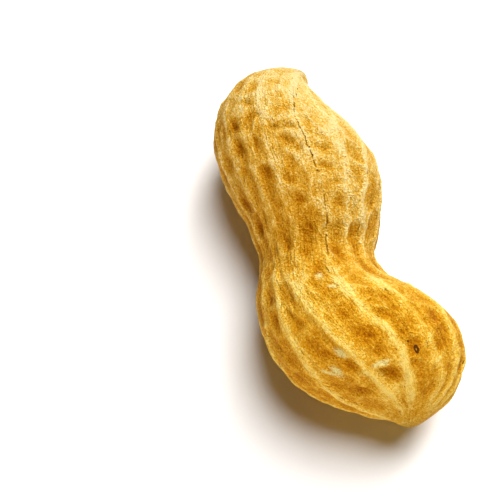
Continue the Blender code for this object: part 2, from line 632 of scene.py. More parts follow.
@dataclass(frozen=True)
class PaintedLight:
    """Where the shell's colour is painted paler or darker for light and shade. Stretches are (from, to) or
    (middle, half width) stations.
    """

    facing: float = 1.25
    upper_ends: tuple[float, float] = (0.16, 0.56)
    crown: tuple[float, float] = (0.655, 0.06)
    crown_half_angle: float = 0.65
    crown_share: float = 0.72
    limb_facing: float = 2.55
    limb_starts: tuple[float, float] = (0.76, 0.90)
    limb_share: float = 0.34
    lee_facing: float = 2.9
    lee_ends: tuple[float, float] = (0.46, 0.62)
    lee_share: float = 0.45
    waist: tuple[float, float] = (0.55, 0.08)
    waist_share: float = 0.25

    def share(self, station: np.ndarray, angle: np.ndarray) -> np.ndarray:
        """Give how far the colour is painted pale, as painted highlight, or dark, as painted shade.

        Formula: painted highlight in a wide cosine lobe on the stalk lobe's upper side and a bell on
        the beak lobe's shoulder, plus a narrow pale lobe on its lower limb, less painted shade in a
        cosine lobe on the stalk lobe's lee side and a band round the waist.

        Args:
            station: (n) from 0 at the stalk to 1 at the beak.
            angle: (n) in radians.

        Returns:
            (n) shares, about -0.5 to 1.
        """
        upper = (0.5 + 0.5 * np.cos(angle - self.facing)) ** 2
        upper = (1.0 - smooth_step(station, *self.upper_ends)) * upper
        lee = np.maximum(np.cos(angle - self.lee_facing), 0.0)
        lee = (1.0 - smooth_step(station, *self.lee_ends)) * lee
        waist = np.exp(-(((station - self.waist[0]) / self.waist[1]) ** 2))
        aside = (wrap(angle - self.facing) / self.crown_half_angle) ** 2
        crown = np.exp(-(((station - self.crown[0]) / self.crown[1]) ** 2) - aside)
        limb = np.maximum(np.cos(angle - self.limb_facing), 0.0) ** 2
        limb = smooth_step(station, *self.limb_starts) * limb
        # Painted highlight on the upper side and the beak lobe's shoulder, less painted shade on the lee
        # side and round the waist.
        pale = upper + self.crown_share * crown + self.limb_share * limb
        return pale - self.lee_share * lee - self.waist_share * waist


@dataclass(frozen=True)
class PodRelief:
    """Everything that stands out of, or dents, the plain pod. Sizes, heights and depths are in mm."""

    form: PodForm
    # Painted highlight and painted shade laid into the colour.
    painted_light: PaintedLight = PaintedLight()
    ribs: tuple[Rib, ...] = (SUTURE,) + UPPER_RIBS + HIDDEN_RIBS
    pits: tuple[Mark, ...] = PITS
    bridges: tuple[Mark, ...] = BRIDGES
    scuffs: tuple[Mark, ...] = SCUFFS
    filler_seed: int = 11
    filler_gap: float = 2.15
    filler_off_rib: float = 0.75
    filler_tries: int = 2600
    crossing_share: float = 0.4
    crossing_end: float = 0.42
    ripening: tuple[float, float] = (0.42, 0.72)
    full_rib: float = 0.22
    flat_top: float = 1.45
    broad_foot: float = 2.4
    foot_share: float = 0.28
    beat: float = 0.55
    beat_size: float = 1.8
    warp: float = 0.46
    warp_size: float = 1.6
    ragged: float = 0.20
    ragged_size: float = 0.8
    pit_share: float = 0.78
    full_pit: float = 0.40
    net_size: float = 2.3
    net_stretch: float = 1.35
    net_line: float = 0.12
    net_vein: float = 0.08
    net_bowl: float = 0.17
    crinkle_size: float = 0.95
    crinkle: float = 0.045
    lump: float = 0.20
    lump_size: float = 4.6
    rough: float = 0.030
    rough_size: float = 0.42
    lift: float = 0.08
    beak_rise: float = 0.28
    beak_spread: float = 0.03
    stalk_rise: float = 0.20
    stalk_spread: float = 0.045
    scar_spread: float = 0.035
    rest_fade: float = 0.9

    def filler(self) -> tuple[Mark, ...]:
        """Scatter pits over the rest of the pod, none too near another or on a rib.

        Returns:
            The named pits followed by the scattered ones.
        """
        rng = np.random.default_rng(self.filler_seed)
        tries = rng.random((self.filler_tries, 6))
        stations = 0.07 + 0.88 * tries[:, 0]
        angles = TURN * tries[:, 1]
        girths = self.form.girth(stations)
        reaches = self.form.reach(stations)
        named = np.array([(p.station, math.radians(p.degrees)) for p in self.pits])
        kept_reach = list(self.form.reach(named[:, 0]))
        kept_angle = list(named[:, 1])
        rib_angles = np.stack([rib.angle(stations) for rib in self.ribs])
        off_rib = np.abs(wrap(angles[None, :] - rib_angles)).min(axis=0) * girths
        pits = list(self.pits)
        for i in range(self.filler_tries):
            across = wrap(np.array(kept_angle) - angles[i]) * girths[i]
            apart = np.hypot(across, np.array(kept_reach) - reaches[i])
            if apart.min() < self.filler_gap or off_rib[i] < self.filler_off_rib:
                continue
            kept_angle.append(angles[i])
            kept_reach.append(reaches[i])
            crossing = stations[i] < self.crossing_end and tries[i, 2] < self.crossing_share
            lie = Lie.ACROSS if crossing else Lie.ALONG
            long_half = 0.60 + 0.70 * tries[i, 3]
            short_half = 0.38 + 0.36 * tries[i, 4]
            length, width = (long_half, short_half) if lie is Lie.ALONG else (short_half, long_half)
            depth = 0.10 + 0.24 * tries[i, 5] ** 2
            pits.append(Mark(stations[i], math.degrees(angles[i]), length, width, depth))
        LOG.info("pits: %d named, %d scattered", len(self.pits), len(pits) - len(self.pits))
        return tuple(pits)

    def strongest(self, ovals: tuple[Mark, ...], at: Unrolled, power: float = 1.0) -> np.ndarray:
        """Give the strongest of many soft ovals at each point.

        Formula: an oval is its strength times exp(-q^power), q the squared distance from its
        middle measured in its own half length and half width.

        Args:
            ovals: The marks.
            at: The points, unrolled.
            power: Above 1 for a flatter floor and steeper walls.

        Returns:
            (n) from 0 up to the strongest mark.
        """
        strongest = np.zeros_like(at.reach)
        middles = self.form.reach(np.array([oval.station for oval in ovals]))
        for oval, middle in zip(ovals, middles):
            along = at.reach - middle
            across = wrap(at.angle - math.radians(oval.degrees)) * at.girth
            turn = math.radians(oval.turn)
            first = (along * math.cos(turn) + across * math.sin(turn)) / oval.length
            second = (across * math.cos(turn) - along * math.sin(turn)) / oval.width
            soft = oval.strength * np.exp(-np.minimum((first**2 + second**2) ** power, 60.0))
            strongest = np.maximum(strongest, soft)
        return strongest

    def ribbing(
        self, station: np.ndarray, angle: np.ndarray, plain: np.ndarray, sway: np.ndarray, ripe: np.ndarray
    ) -> tuple[np.ndarray, np.ndarray, np.ndarray]:
        """Lay the ribs along their tracks.

        Formula: a rib is its height, swelling and sinking with slow noise, times a bell of the
        distance from its track, with a low broad foot. On the beak lobe the bell's top is flat.
        Where ribs meet, the higher one shows.

        Args:
            station: (n) from 0 at the stalk to 1 at the beak.
            angle: (n) in radians.
            plain: (n, 3) the plain pod's points in mm.
            sway: (n) sideways bend of the tracks in radians.
            ripe: (n) 0 on the stalk lobe to 1 on the beak lobe.

        Returns:
            (n) height in mm, (n) signed distance in mm from the nearest track, and (n) the height
            in mm of that rib.
        """
        girth = self.form.girth(station)
        crest = np.zeros_like(station)
        nearest = np.full_like(station, 9.0)
        stands = np.zeros_like(station)
        for number, rib in enumerate(self.ribs):
            off = wrap(angle + sway - rib.angle(station)) * girth
            beat = 1.0 + self.beat * lattice_noise(plain, self.beat_size, Seed.BEAT + number)
            height = rib.height(station)
            sharp = np.exp(-((off / rib.spread) ** 2))
            flat = np.exp(-(np.abs(off / (self.flat_top * rib.spread)) ** 3.5))
            wide = np.exp(-((off / (self.broad_foot * rib.spread)) ** 2))
            bell = (1.0 - self.foot_share) * (sharp + ripe * (flat - sharp)) + self.foot_share * wide
            crest = np.maximum(crest, height * beat * bell)
            closer = np.abs(off) < np.abs(nearest)
            nearest = np.where(closer, off, nearest)
            stands = np.where(closer, height, stands)
        return crest, nearest, stands

    def net(self, at: Unrolled) -> tuple[np.ndarray, np.ndarray, np.ndarray]:
        """Give the net of veins, the bowls between them and the fine crinkle.

        Formula: the shell, laid on a straight tube and shortened so that its cells come out long,
        is parted into irregular cells. A vein is a bell of the distance to a cell's wall. A bowl
        is a soft step inwards, deeper in some cells than in others. The crinkle is the same with
        small cells.

        Args:
            at: The points, unrolled.

        Returns:
            Three (n) arrays from 0 to 1.
        """
        tube = [at.girth * np.cos(at.angle), at.girth * np.sin(at.angle), at.reach / self.net_stretch]
        laid = np.stack(tube, axis=-1)
        edge, number = cell_net(laid, self.net_size, Seed.NET)
        vein = np.exp(-((edge / self.net_line) ** 2))
        bowl = smooth_step(edge, 0.0, 0.55) * (0.25 + 0.75 * number)
        small_edge, small_number = cell_net(laid, self.crinkle_size, Seed.CRINKLE)
        return vein, bowl, smooth_step(small_edge, 0.0, 0.5) * small_number

    def fields(self, station: np.ndarray, angle: np.ndarray, plain: np.ndarray) -> dict[Field, np.ndarray]:
        """Work out the relief in mm and the masks the material uses.

        Formula: soft lumps, plus the ribs and bridges, minus the pits, bowls and crinkle, which
        shallow out on the ribs and where the colour is painted pale, plus a fine roughness. Tracks and
        marks are bent by slow noise first. All of it sinks into both ends and into the rest flats, and a
        small bell raises the beak and the stalk scar.

        Args:
            station: (n) from 0 at the stalk to 1 at the beak.
            angle: (n) in radians.
            plain: (n, 3) the plain pod's points in mm.

        Returns:
            Field name to array.
        """
        girth = self.form.girth(station)
        safe = np.maximum(girth, 0.4)
        bend_across = self.warp * layered_noise(plain, self.warp_size, Seed.BEND_ACROSS, 2)
        bend_along = self.warp * layered_noise(plain, self.warp_size, Seed.BEND_ALONG, 2)
        bent = Unrolled(self.form.reach(station) + bend_along, angle + bend_across / safe, girth)

        ripe = smooth_step(station, *self.ripening)
        ragged = self.ragged * layered_noise(plain, self.ragged_size, Seed.RAGGED, 2)
        sway = (0.35 * bend_across + ragged) / safe
        crest, nearest, stands = self.ribbing(station, angle, plain, sway, ripe)
        bridge = self.strongest(self.bridges, bent)
        crest = np.maximum(crest, bridge)
        on_rib = np.clip(crest / self.full_rib, 0.0, 1.0)

        # Painted highlight (above 0) and painted shade (below 0) for the colour; the pits are shallower
        # where it is painted pale.
        painted_light = self.painted_light.share(station, angle)
        calm = 1.0 - 0.40 * ripe - 0.50 * np.clip(painted_light, 0.0, 1.0) * (1.0 - ripe)
        pit = self.strongest(self.filler(), bent, 1.2) * self.pit_share * calm
        vein, bowl, crinkle = self.net(bent)
        lumps = self.lump * layered_noise(plain, self.lump_size, Seed.LUMP, 2)
        rough = self.rough * layered_noise(plain, self.rough_size, Seed.ROUGH, 2)
        dents = pit + self.net_bowl * bowl - self.net_vein * vein
        relief = lumps + crest - dents * (1.0 - 0.65 * on_rib) - self.crinkle * crinkle + rough + self.lift
        relief *= smooth_step(girth, 0.9, 5.0)
        relief *= smooth_step(plain[..., 2], 0.0, self.rest_fade)
        relief += self.beak_rise * np.exp(-(((1.0 - station) / self.beak_spread) ** 2))
        relief += self.stalk_rise * np.exp(-((station / self.stalk_spread) ** 2))

        # The pit and valley masks darken the colour in the hollows: partly the shell's own deeper colour,
        # partly painted shade.
        valley = np.abs(nearest) + 0.35 * layered_noise(plain, 1.3, Seed.VALLEY, 2)
        hollow = pit + 0.8 * self.net_bowl * bowl
        off_seam = wrap(angle - SUTURE.angle(station)) * girth
        near_seam = 1.0 - smooth_step(np.abs(off_seam), 1.0, 2.0)
        stations, shares = zip(*SEAM_OPENS)
        return {
            Field.RELIEF: relief,
            Field.PIT: np.clip(hollow / self.full_pit, 0.0, 1.0) * (1.0 - 0.7 * on_rib) * calm,
            Field.VEIN: np.maximum(0.65 * vein, bridge / 0.2),
            Field.RIB: np.clip(stands / self.full_rib, 0.0, 1.2) * smooth_step(girth, 1.0, 3.0),
            Field.RIB_OFF: nearest,
            Field.VALLEY: smooth_step(valley, 0.35, 1.25) * (0.35 + 0.65 * ripe),
            Field.SEAM: off_seam,
            Field.SEAM_OPEN: near_seam * np.interp(station, stations, shares),
            Field.SCUFF: self.strongest(self.scuffs, bent),
            Field.SCAR: np.exp(-((station / self.scar_spread) ** 2)),
            Field.RIPE: ripe,
            Field.PAINTED_LIGHT: painted_light,
        }


# ---------------------------------------------------------------- node helpers


@dataclass
class Graph:
    """A node tree with short calls to add, set and join nodes."""

    tree: bpy.types.NodeTree

    def add(self, kind: str, settings: dict[str, Any] | None = None, **sockets: Input) -> bpy.types.Node:
        """Add a node, set its properties, and set or link its inputs.

        Args:
            kind: Blender's node type.
            settings: Property name to value.
            **sockets: Input name, with spaces as underscores and a trailing number for an
                index (in0, in1), to a value or an output socket.

        Returns:
            The new node.
        """
        node = self.tree.nodes.new(kind)
        for name, value in (settings or {}).items():
            setattr(node, name, value)
        for name, value in sockets.items():
            key = int(name[2:]) if name[:2] == "in" and name[2:].isdigit() else name.replace("_", " ")
            self.put(node.inputs[key], value)
        return node

    def put(self, socket: bpy.types.NodeSocket, value: Input) -> None:
        """Link an output socket to an input, or set the input's value."""
        if isinstance(value, bpy.types.NodeSocket):
            self.tree.links.new(value, socket)
        elif isinstance(value, tuple) and len(value) == 3 and socket.type == "RGBA":
            socket.default_value = (*value, 1.0)
        else:
            socket.default_value = value

    def math(self, operation: str, *values: Input) -> Output:
        """Add a Math node and give its output.

        Args:
            operation: Blender's name of the operation.
            *values: The node's inputs in order.

        Returns:
            The result.
        """
        node = self.add("ShaderNodeMath", {"operation": operation})
        for index, value in enumerate(values):
            self.put(node.inputs[index], value)
        return node.outputs[0]

    def inverse(self, value: Input) -> Output:
        """Give 1 less a value."""
        return self.math("SUBTRACT", 1.0, value)

    def span(
        self, value: Input, low: float, high: float, to_low: float = 0.0, to_high: float = 1.0
    ) -> Output:
        """Map one range smoothly to another.

        Args:
            value: What is mapped.
            low: The value that gives to_low.
            high: The value that gives to_high.
            to_low: The result at low and beyond.
            to_high: The result at high and beyond.

        Returns:
            The result.
        """
        node = self.add("ShaderNodeMapRange", {"interpolation_type": "SMOOTHSTEP"})
        for index, number in enumerate((value, low, high, to_low, to_high)):
            self.put(node.inputs[index], number)
        return node.outputs["Result"]

    def mix(self, share: Input, first: Input, second: Input, blend: str = "MIX") -> Output:
        """Mix two colours.

        Args:
            share: 0 for the first, 1 for the second blended over it.
            first: A colour.
            second: A colour.
            blend: Blender's name of the blend.

        Returns:
            The mixed colour.
        """
        node = self.add("ShaderNodeMix", {"data_type": "RGBA", "blend_type": blend, "clamp_factor": True})
        self.put(node.inputs["Factor"], share)
        self.put(node.inputs[6], first)
        self.put(node.inputs[7], second)
        return node.outputs[2]

    def noise(self, place: Input, scale: Input, detail: float = 2.0, roughness: float = 0.5) -> Output:
        """Add a noise texture.

        Args:
            place: Where it is read.
            scale: Its features per unit of place.
            detail: How many finer layers are added.
            roughness: How strong they are.

        Returns:
            The noise, about 0.3 to 0.7.
        """
        node = self.add("ShaderNodeTexNoise", Vector=place, Scale=scale, Detail=detail, Roughness=roughness)
        return node.outputs[0]

    def cells(self, place: Input, scale: Input) -> Output:
        """Add a Voronoi texture and give the distance to the nearest cell middle."""
        return self.add("ShaderNodeTexVoronoi", Vector=place, Scale=scale).outputs["Distance"]

    def sum(self, start: float, *terms: tuple[Input, float]) -> Output:
        """Add up a start value and each value times its weight."""
        total: Input = start
        for value, weight in terms:
            total = self.math("MULTIPLY_ADD", value, weight, total)
        return total

    def stretch(self, place: Input, scale: tuple[float, float, float]) -> Output:
        """Scale a position by a fixed vector."""
        return self.vector("MULTIPLY", place, scale).outputs["Vector"]

    def use(self, group: bpy.types.NodeTree, **sockets: Input) -> bpy.types.bpy_prop_collection:
        """Add a node group, set or link its inputs as `add` does, and give its outputs."""
        return self.add("ShaderNodeGroup", {"node_tree": group}, **sockets).outputs

    def vector(self, operation: str, *values: Input) -> bpy.types.Node:
        """Add a Vector Math node with its inputs in order."""
        node = self.add("ShaderNodeVectorMath", {"operation": operation})
        for index, value in enumerate(values):
            self.put(node.inputs[index], value)
        return node


def new_group(
    name: str, inputs: dict[str, tuple[str, Any]], outputs: dict[str, str]
) -> tuple[Graph, Any, Any]:
    """Start a shader node group with named sockets.

    Args:
        name: The group's name.
        inputs: Socket name to (socket type, default or None).
        outputs: Socket name to socket type.

    Returns:
        The group's graph, its input node's outputs and its output node's inputs.
    """
    tree = bpy.data.node_groups.new(name, "ShaderNodeTree")
    for label, (kind, default) in inputs.items():
        socket = tree.interface.new_socket(name=label, in_out="INPUT", socket_type=kind)
        if default is not None:
            socket.default_value = default
    for label, kind in outputs.items():
        tree.interface.new_socket(name=label, in_out="OUTPUT", socket_type=kind)
    graph = Graph(tree)
    return graph, graph.add("NodeGroupInput").outputs, graph.add("NodeGroupOutput").inputs


FLOAT, VECTOR = "NodeSocketFloat", "NodeSocketVector"


@dataclass(frozen=True)
class GrainGroup:
    """Dry plant grain: speckle and lengthwise fibres, as values from 0 to 1.

    The speckle is read on turned axes (`skew`, in radians), so it never lines up with the pod.
    """

    name: str = "shell grain"
    skew: tuple[float, float, float] = (0.62, 0.81, 0.47)

    def make(self) -> bpy.types.NodeTree:
        """Build the group: Place and Straight (mm), sizes in; Speckle, Fibre and Height out."""
        sockets = {
            "Place": (VECTOR, None),
            "Straight": (VECTOR, None),
            "Grain Size": (FLOAT, 0.21),
            "Fibre Size": (FLOAT, 0.26),
        }
        results = {"Speckle": FLOAT, "Fibre": FLOAT, "Height": FLOAT}
        graph, ins, outs = new_group(self.name, sockets, results)
        scale = graph.math("DIVIDE", 1.0, ins["Grain Size"])
        turned = graph.add("ShaderNodeVectorRotate", {"rotation_type": "EULER_XYZ"}, Vector=ins["Place"])
        turned.inputs["Rotation"].default_value = self.skew
        askew = turned.outputs["Vector"]
        grain = graph.noise(askew, scale, 3.0, 0.65)
        pores = graph.span(graph.cells(askew, graph.math("MULTIPLY", scale, 1.15)), 0.10, 0.62)
        dots = graph.span(graph.cells(askew, graph.math("MULTIPLY", scale, 0.55)), 0.10, 0.30)
        speckle = graph.sum(-0.30, (graph.span(grain, 0.34, 0.66), 0.62), (pores, 0.38), (dots, 0.30))
        drawn = graph.stretch(ins["Straight"], (1.0, 1.0, 0.16))
        fibre = graph.noise(drawn, graph.math("DIVIDE", 1.0, ins["Fibre Size"]), 2.0, 0.55)
        fibre = graph.span(fibre, 0.36, 0.64)
        graph.put(outs["Speckle"], speckle)
        graph.put(outs["Fibre"], fibre)
        graph.put(outs["Height"], graph.sum(0.0, (speckle, 0.65), (fibre, 0.35)))
        return graph.tree


@dataclass(frozen=True)
class NetGroup:
    """The finest veins: thin lines between small irregular cells."""

    name: str = "fine net"

    def make(self) -> bpy.types.NodeTree:
        """Build the group: Place (mm), Cell Size and Width (share of a cell) in; Vein out."""
        sockets = {"Place": (VECTOR, None), "Cell Size": (FLOAT, 1.0), "Width": (FLOAT, 0.10)}
        graph, ins, outs = new_group(self.name, sockets, {"Vein": FLOAT})
        bend = graph.add("ShaderNodeTexNoise", Vector=ins["Place"], Scale=1.4, Detail=2.0, Roughness=0.6)
        bent = graph.vector("MULTIPLY_ADD", bend.outputs["Color"], (0.8, 0.8, 0.8), ins["Place"])
        scale = graph.math("DIVIDE", 1.0, ins["Cell Size"])
        to_edge = {"feature": "DISTANCE_TO_EDGE"}
        cell = graph.add("ShaderNodeTexVoronoi", to_edge, Vector=bent.outputs[0], Scale=scale)
        edge = graph.math("DIVIDE", cell.outputs["Distance"], ins["Width"])
        broken = graph.span(graph.noise(ins["Place"], 1.1, 2.0, 0.6), 0.36, 0.60)
        graph.put(outs["Vein"], graph.math("MULTIPLY", graph.inverse(graph.span(edge, 0.2, 1.0)), broken))
        return graph.tree


@dataclass(frozen=True)
class SeamGroup:
    """The hairline crack that runs along the suture, broken where it closes, with painted shade beside it.
    """

    name: str = "suture crack"

    def make(self) -> bpy.types.NodeTree:
        """Build the group: Offset (mm), Open, Place (mm) and Width in; Mask, and the painted shade beside
        the crack, out.
        """
        sockets = {
            "Offset": (FLOAT, 0.0),
            "Open": (FLOAT, 0.0),
            "Place": (VECTOR, None),
            "Width": (FLOAT, 0.060),
        }
        graph, ins, outs = new_group(self.name, sockets, {"Mask": FLOAT, "Crack Shade": FLOAT})
        sway = graph.noise(ins["Place"], 1.3, 3.0, 0.6)
        off = graph.sum(-0.21, (ins["Offset"], 1.0), (sway, 0.42))
        swell = graph.sum(0.35, (graph.noise(ins["Place"], 2.6, 2.0, 0.6), 1.3))
        off = graph.math("DIVIDE", graph.math("ABSOLUTE", off), graph.math("MULTIPLY", ins["Width"], swell))
        line = graph.inverse(graph.span(off, 0.35, 1.0))
        # Painted shade: a soft darkening in a band beside the crack.
        edge = graph.inverse(graph.span(off, 0.8, 3.4))
        broken = graph.span(graph.noise(ins["Place"], 0.8, 4.0, 0.75), 0.42, 0.54)
        shown = graph.math("MULTIPLY", broken, ins["Open"])
        graph.put(outs["Mask"], graph.math("MULTIPLY", line, shown))
        graph.put(outs["Crack Shade"], graph.math("MULTIPLY", edge, shown))
        return graph.tree


@dataclass(frozen=True)
class RibGroup:
    """A rib's fine lines: a pale fibrous crest and short dark slits along its foot."""

    name: str = "rib lines"

    def make(self) -> bpy.types.NodeTree:
        """Build the group: Offset (mm), Share, Place and Straight (mm) in; Crest and Slit out."""
        sockets = {
            "Offset": (FLOAT, 0.0),
            "Share": (FLOAT, 0.0),
            "Place": (VECTOR, None),
            "Straight": (VECTOR, None),
        }
        graph, ins, outs = new_group(self.name, sockets, {"Crest": FLOAT, "Slit": FLOAT})
        sway = graph.noise(ins["Place"], 0.9, 3.0, 0.6)
        off = graph.sum(-0.15, (ins["Offset"], 1.0), (sway, 0.30))
        side = graph.math("ABSOLUTE", off)
        strands = graph.noise(graph.stretch(ins["Straight"], (1.0, 1.0, 0.10)), 5.5, 2.0, 0.6)
        fine = graph.inverse(graph.span(side, 0.02, 0.22))
        broad = graph.inverse(graph.span(side, 0.20, 0.62))
        strand = graph.span(strands, 0.34, 0.60)
        crest = graph.sum(0.0, (graph.math("MULTIPLY", fine, strand), 0.55), (broad, 0.50))
        foot = graph.math("ABSOLUTE", graph.math("SUBTRACT", side, 0.42))
        foot = graph.inverse(graph.span(foot, 0.02, 0.085))
        dashes = graph.noise(graph.stretch(ins["Straight"], (0.8, 0.8, 0.45)), 1.7, 4.0, 0.7)
        slit = graph.math("MULTIPLY", foot, graph.span(dashes, 0.57, 0.64))
        graph.put(outs["Crest"], graph.math("MULTIPLY", crest, ins["Share"]))
        graph.put(outs["Slit"], graph.math("MULTIPLY", slit, ins["Share"]))
        return graph.tree


@dataclass(frozen=True)
class FleckGroup:
    """One small hard dark mark at a given place on the shell, solid or a ring."""

    name: str = "dark fleck"

    def make(self) -> bpy.types.NodeTree:
        """Build the group: Place, Middle and Half (mm) and Hollow (share) in; Mask out."""
        sockets = {
            "Place": (VECTOR, None),
            "Middle": (VECTOR, None),
            "Half": (VECTOR, None),
            "Hollow": (FLOAT, 0.0),
        }
        graph, ins, outs = new_group(self.name, sockets, {"Mask": FLOAT})
        off = graph.vector("SUBTRACT", ins["Place"], ins["Middle"]).outputs["Vector"]
        share = graph.vector("DIVIDE", off, ins["Half"]).outputs["Vector"]
        far = graph.vector("LENGTH", share).outputs["Value"]
        far = graph.math("ABSOLUTE", graph.math("SUBTRACT", far, ins["Hollow"]))
        far = graph.math("DIVIDE", far, graph.math("SUBTRACT", 1.0, ins["Hollow"]))
        ragged = graph.sum(-0.45, (far, 1.0), (graph.noise(ins["Place"], 5.0, 2.0, 0.6), 0.9))
        graph.put(outs["Mask"], graph.inverse(graph.span(ragged, 0.70, 1.10)))
        return graph.tree


@dataclass(frozen=True)
class ShellFinish:
    """The shell's colours (linear) and its surface.

    `ramp` runs from the floor of a pit to a vein's top, and `ripe` tints the beak lobe. The two
    nets are each a cell size in mm and a line's width as a share of a cell.
    """

    form: PodForm = field(default_factory=PodForm)
    flecks: tuple[Fleck, ...] = FLECKS
    # The palest stops are reached mostly where the painted highlight lifts the tone.
    ramp: tuple[tuple[float, Colour], ...] = (
        (0.00, (0.300, 0.088, 0.0005)),
        (0.22, (0.430, 0.162, 0.0020)),
        (0.42, (0.545, 0.252, 0.0100)),
        (0.62, (0.650, 0.350, 0.0360)),
        (0.80, (0.745, 0.480, 0.1050)),
        (1.00, (0.830, 0.640, 0.2700)),
    )
    dark: Colour = (0.10, 0.034, 0.004)
    scuff: Colour = (0.80, 0.71, 0.29)
    ripe: Colour = (1.10, 1.06, 0.66)
    sheen: Colour = (1.0, 0.86, 0.62)
    roughness: float = 0.66
    roughness_spread: tuple[float, float] = (0.10, -0.06)
    bump_mm: float = 0.24
    fleck_depth: float = 1.5
    scuff_cover: float = 0.85
    crack_cover: float = 0.85
    scar_cover: float = 0.30
    coarse_net: tuple[float, float] = (1.25, 0.10)
    small_net: tuple[float, float] = (0.62, 0.14)

    def tone(
        self, graph: Graph, value: dict[Field, Output], place: Output, fine: dict[str, Output]
    ) -> Output:
        """Add up everything that lightens or darkens the shell's colour, painted light and shade among it,
        as a place on the ramp.

        Args:
            graph: The material's graph.
            value: The mesh's fields.
            place: Position in mm.
            fine: The groups' grain, fibre, net and rib values, and the painted shade beside the crack.

        Returns:
            The tone, about 0 to 1.
        """
        patch = graph.span(graph.noise(place, 0.20, 2.0, 0.5), 0.35, 0.65)
        cloud = graph.span(graph.noise(place, 0.85, 3.0, 0.6), 0.32, 0.68)
        # Raised places paler, and pits and valleys darker: partly the shell's own colour, partly painted
        # shade in the hollows.
        lift = graph.span(value[Field.RELIEF], -0.45, 0.35)
        return graph.sum(
            -0.16,
            (lift, 0.34),
            (value[Field.PIT], -0.24),
            (value[Field.VALLEY], -0.16),
            (value[Field.VEIN], 0.16),
            # Painted highlight and painted shade.
            (value[Field.PAINTED_LIGHT], 0.34),
            (patch, 0.10),
            (cloud, 0.12),
            (fine["Speckle"], 0.50),
            (fine["Fibre"], 0.14),
            (fine["Net"], 0.16),
            (fine["Crest"], 0.26),
            (fine["Slit"], -0.26),
            # Painted shade beside the suture crack.
            (fine["Crack Shade"], -0.34),
        )

    def specked(self, graph: Graph, place: Output) -> Output:
        """Give the mask of the few hard dark marks.

        Args:
            graph: The material's graph.
            place: Position in mm.

        Returns:
            The mask, 0 to 1.
        """
        group = FleckGroup().make()
        mask: Input = 0.0
        for fleck in self.flecks:
            middle = self.form.skin(np.array(fleck.station), np.array(math.radians(fleck.degrees)))
            half = (fleck.width, fleck.length, self.fleck_depth)
            at = tuple(map(float, middle))
            one = graph.use(group, Place=place, Middle=at, Half=half, Hollow=fleck.hollow)
            mask = graph.math("MAXIMUM", mask, one["Mask"])
        return mask

    def material(self) -> bpy.types.Material:
        """Build the shell material.

        Returns:
            The material, which reads the mesh's fields and Object coordinates.
        """
        material = bpy.data.materials.new("peanut_shell")
        material.use_nodes = True
        tree = material.node_tree
        tree.nodes.clear()
        graph = Graph(tree)
        read = {item: graph.add("ShaderNodeAttribute", {"attribute_name": item.value}) for item in Field}
        value = {item: node.outputs["Fac"] for item, node in read.items()}
        straight = read[Field.STRAIGHT].outputs["Vector"]
        place = graph.stretch(graph.add("ShaderNodeTexCoord").outputs["Object"], (1.0 / MM,) * 3)

        grain = graph.use(GrainGroup().make(), Place=place, Straight=straight)
        seam_at = {"Offset": value[Field.SEAM], "Open": value[Field.SEAM_OPEN]}
        seam = graph.use(SeamGroup().make(), Place=place, **seam_at)
        rib_at = {"Offset": value[Field.RIB_OFF], "Share": value[Field.RIB]}
        rib = graph.use(RibGroup().make(), Place=place, Straight=straight, **rib_at)
        net_group = NetGroup().make()
        nets = [
            graph.use(net_group, Place=place, Cell_Size=size, Width=width)["Vein"]
            for size, width in (self.coarse_net, self.small_net)
        ]
        fine = {name: grain[name] for name in ("Speckle", "Fibre", "Height")}
        fine["Net"] = graph.sum(0.0, (nets[0], 0.65), (nets[1], 0.35))
        fine.update({name: rib[name] for name in ("Crest", "Slit")})
        fine["Crack Shade"] = seam["Crack Shade"]

        tatter = graph.noise(place, 1.7, 3.0, 0.65)
        ramp = graph.add("ShaderNodeValToRGB", in0=self.tone(graph, value, place, fine))
        stops = ramp.color_ramp.elements
        while len(stops) < len(self.ramp):
            stops.new(0.5)
        for stop, (position, colour) in zip(stops, self.ramp):
            stop.position = position
            stop.color = (*colour, 1.0)
        colour = graph.mix(value[Field.RIPE], ramp.outputs["Color"], self.ripe, "MULTIPLY")
        torn = graph.sum(-0.25, (fine["Speckle"], 0.9), (tatter, 1.6))
        torn = graph.math("MULTIPLY", value[Field.SCUFF], torn)
        colour = graph.mix(graph.span(torn, 0.12, 0.80, 0.0, self.scuff_cover), colour, self.scuff)
        cracks = graph.math("MAXIMUM", seam["Mask"], graph.math("MULTIPLY", fine["Slit"], 0.75))
        colour = graph.mix(graph.math("MULTIPLY", cracks, self.crack_cover), colour, self.dark)
        colour = graph.mix(self.specked(graph, place), colour, self.dark)
        scar = graph.math("MULTIPLY", value[Field.SCAR], self.scar_cover)
        colour = graph.mix(scar, colour, self.dark)

        dull, smooth = (self.roughness + change for change in self.roughness_spread)
        rough = graph.span(fine["Speckle"], 0.0, 1.0, dull, smooth)
        raised = ((fine["Height"], 1.0), (fine["Crest"], 0.5), (fine["Net"], 0.4), (cracks, -0.8))
        height = graph.sum(0.0, *raised)
        bump = graph.add("ShaderNodeBump", Height=height, Distance=self.bump_mm * MM, Strength=1.0)
        shader = graph.add(
            "ShaderNodeBsdfPrincipled",
            Base_Color=colour,
            Roughness=rough,
            Metallic=0.0,
            Specular_IOR_Level=0.05,
            Specular_Tint=self.sheen,
            Normal=bump.outputs["Normal"],
        )
        graph.add("ShaderNodeOutputMaterial", Surface=shader.outputs["BSDF"])
        return material


# ---------------------------------------------------------------- the peanut


